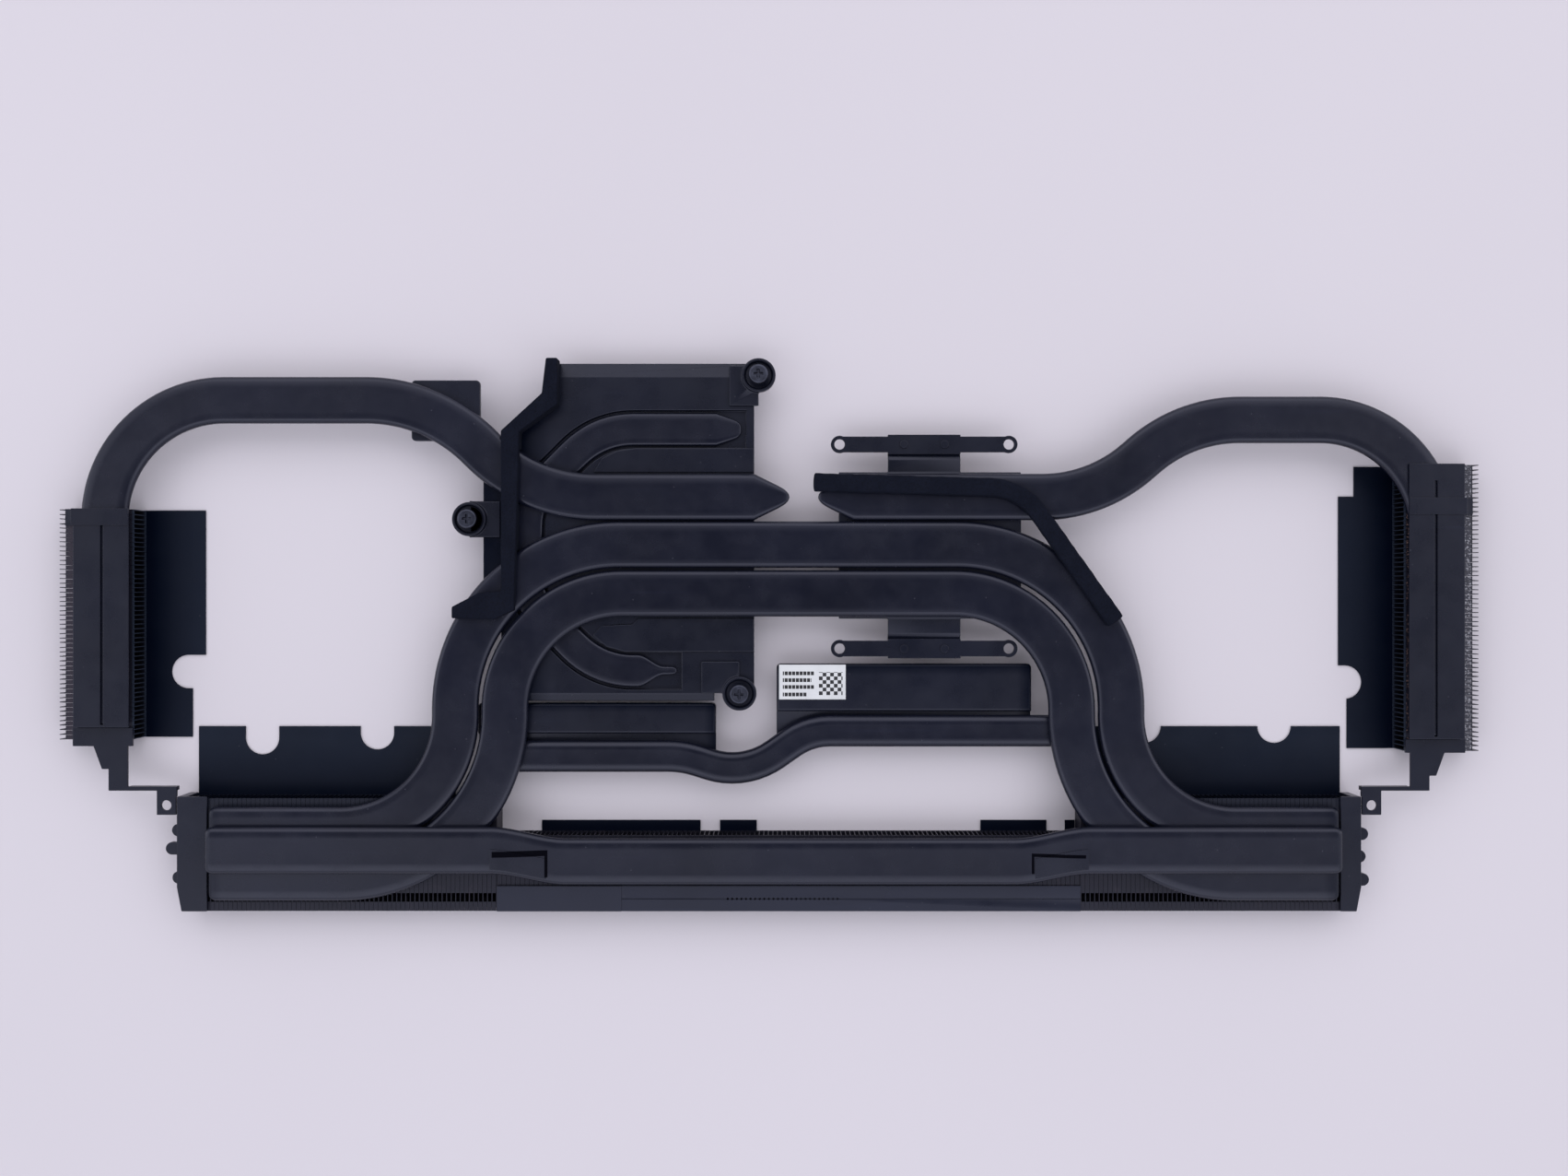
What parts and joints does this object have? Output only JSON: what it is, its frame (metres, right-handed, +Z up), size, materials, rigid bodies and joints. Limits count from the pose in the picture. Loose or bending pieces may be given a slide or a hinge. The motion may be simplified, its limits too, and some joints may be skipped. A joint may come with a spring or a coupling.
{
  "type": "laptop heat sink module",
  "caption": "Flat laptop cooling module: nested flattened heat pipes join chip plates with captive screws to fin packs along the rear and both sides.",
  "frame": {"origin": "centre of the bounding box in X and Y, on the plane that the air guide sheets lie on", "axes": "+X along the rear fin edge, left fan bay to right fan bay; +Y from the rear edge to the front; +Z up, away from the chips"},
  "size_m": [0.3416, 0.1328, 0.0122],
  "materials": {
    "coated_pipe": "matt black coating",
    "coated_plate": "matt black coating",
    "fin": "black coating",
    "guide_sheet": "thin black film",
    "dark_steel": "blackened steel",
    "copper": "bare copper",
    "soft_pad": "soft grey pad",
    "seal": "black foam",
    "sticker": "plain white film"
  },
  "bodies": {
    "root": {"air_guide_left": "guide_sheet", "air_guide_rear_left": "guide_sheet", "air_guide_rear_middle": "guide_sheet", "air_guide_rear_right": "guide_sheet", "air_guide_right": "guide_sheet", "end_cap_left": "coated_plate", "end_cap_right": "coated_plate", "fins_left": "fin", "fins_rear_left": "fin", "fins_rear_middle": "fin", "fins_rear_right": "fin", "fins_right": "fin", "graphics_base_plate": "coated_plate", "graphics_cold_plate": "copper", "graphics_plate_islands": "coated_plate", "link_arm_left": "coated_plate", "link_arm_right": "coated_plate", "memory_pads": "soft_pad", "pipe_graphics_hook": "coated_pipe", "pipe_inner_loop": "coated_pipe", "pipe_left": "coated_pipe", "pipe_outer_loop": "coated_pipe", "pipe_rear": "coated_pipe", "pipe_right": "coated_pipe", "pipe_small_link": "coated_pipe", "pipe_support_pad": "soft_pad", "pipe_support_plate": "coated_plate", "processor_base_plate": "coated_plate", "processor_cold_plate": "copper", "rear_cover_strip": "coated_plate", "rear_pipe_tab_left": "coated_plate", "rear_pipe_tab_right": "coated_plate", "regulator_pad_left": "soft_pad", "regulator_pad_right": "soft_pad", "regulator_plate_left": "coated_plate", "regulator_plate_right": "coated_plate", "screw_lug_front": "coated_plate", "screw_lug_left": "coated_plate", "screw_lug_rear": "coated_plate", "screw_spring_front": "dark_steel", "screw_spring_left": "dark_steel", "screw_spring_rear": "dark_steel", "seal_strip_right": "seal", "side_cover_left": "coated_plate", "side_cover_right": "coated_plate", "side_strap_left": "coated_plate", "side_strap_right": "coated_plate", "spring_bar_front": "coated_plate", "spring_bar_rear": "coated_plate", "spring_bar_rivets": "coated_plate", "sticker": "sticker", "wall_seal_left": "seal"},
    "left_clip": {"retaining_clip_left": "dark_steel"},
    "left_screw": {"captive_screw_left": "dark_steel"},
    "front_clip": {"retaining_clip_front": "dark_steel"},
    "front_screw": {"captive_screw_front": "dark_steel"},
    "rear_clip": {"retaining_clip_rear": "dark_steel"},
    "rear_screw": {"captive_screw_rear": "dark_steel"}
  },
  "joints": [
    {"name": "left_screw_press", "type": "slide", "parent": "root", "child": "left_clip", "axis": [0, 0, -1], "range_m": [0, 0.001], "stiffness_N_per_m": 1500, "springref_m": -0.0005, "deforming": ["screw_spring_left"]},
    {"name": "left_screw_turn", "type": "hinge", "parent": "left_clip", "child": "left_screw", "pos_m": [-0.0719, 0.0278, 0.0069], "axis": [0, 0, 1], "continuous": true},
    {"name": "front_screw_press", "type": "slide", "parent": "root", "child": "front_clip", "axis": [0, 0, -1], "range_m": [0, 0.001], "stiffness_N_per_m": 1500, "springref_m": -0.0005, "deforming": ["screw_spring_front"]},
    {"name": "front_screw_turn", "type": "hinge", "parent": "front_clip", "child": "front_screw", "pos_m": [-0.0025, 0.0623, 0.0069], "axis": [0, 0, 1], "continuous": true},
    {"name": "rear_screw_press", "type": "slide", "parent": "root", "child": "rear_clip", "axis": [0, 0, -1], "range_m": [0, 0.001], "stiffness_N_per_m": 1500, "springref_m": -0.0005, "deforming": ["screw_spring_rear"]},
    {"name": "rear_screw_turn", "type": "hinge", "parent": "rear_clip", "child": "rear_screw", "pos_m": [-0.0071, -0.014, 0.0069], "axis": [0, 0, 1], "continuous": true}
  ]
}
